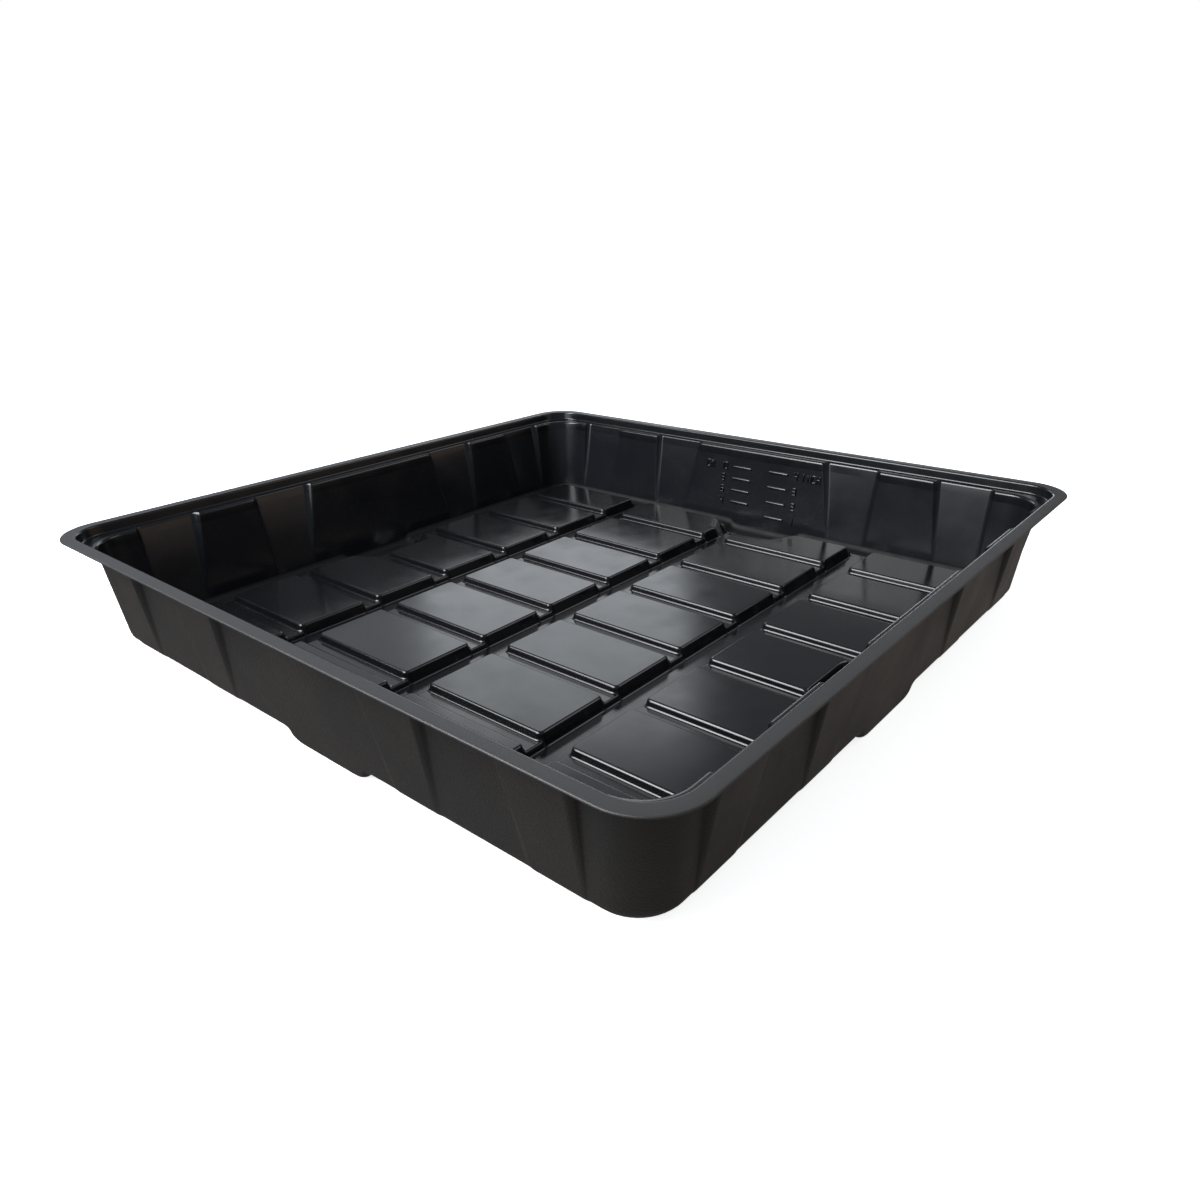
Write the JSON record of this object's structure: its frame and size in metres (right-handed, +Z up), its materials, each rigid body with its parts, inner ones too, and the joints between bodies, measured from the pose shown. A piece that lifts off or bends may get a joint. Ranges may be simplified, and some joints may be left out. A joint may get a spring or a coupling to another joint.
{
  "type": "flood and drain tray",
  "caption": "Deep square black plastic growing tray with ribbed walls, raised pads, drain channels, a gutter and sumps, a push-in drain with strainer and an adjustable overflow.",
  "frame": {"origin": "middle of the base, on the surface that the tray stands on", "axes": "+Z up, X and Y along the walls; the outlets are in the sump at the -Y wall"},
  "size_m": [0.96, 0.96, 0.152],
  "materials": {
    "sheet": "black formed sheet, glossy inside, fine grain outside",
    "rubber": "matte black rubber",
    "fitting": "satin black moulded plastic"
  },
  "bodies": {
    "tray_body": {"tray": "sheet", "drain_bush": "rubber", "drain_sleeve": "fitting", "overflow_bush": "rubber", "overflow_sleeve": "fitting", "standpipe_seal": "rubber"},
    "strainer_body": {"drain_strainer": "fitting"},
    "standpipe_body": {"standpipe": "fitting", "riser_seal": "rubber"},
    "riser_body": {"riser": "fitting"},
    "screen_body": {"overflow_screen": "fitting"}
  },
  "joints": [
    {"name": "strainer_lift", "type": "slide", "parent": "tray_body", "child": "strainer_body", "axis": [0, 0, 1], "range_m": [0, 0.04]},
    {"name": "standpipe_lift", "type": "slide", "parent": "tray_body", "child": "standpipe_body", "axis": [0, 0, 1], "range_m": [0, 0.06]},
    {"name": "riser_height", "type": "slide", "parent": "standpipe_body", "child": "riser_body", "axis": [0, 0, 1], "range_m": [0, 0.03]},
    {"name": "screen_lift", "type": "slide", "parent": "riser_body", "child": "screen_body", "axis": [0, 0, 1], "range_m": [0, 0.03]}
  ]
}
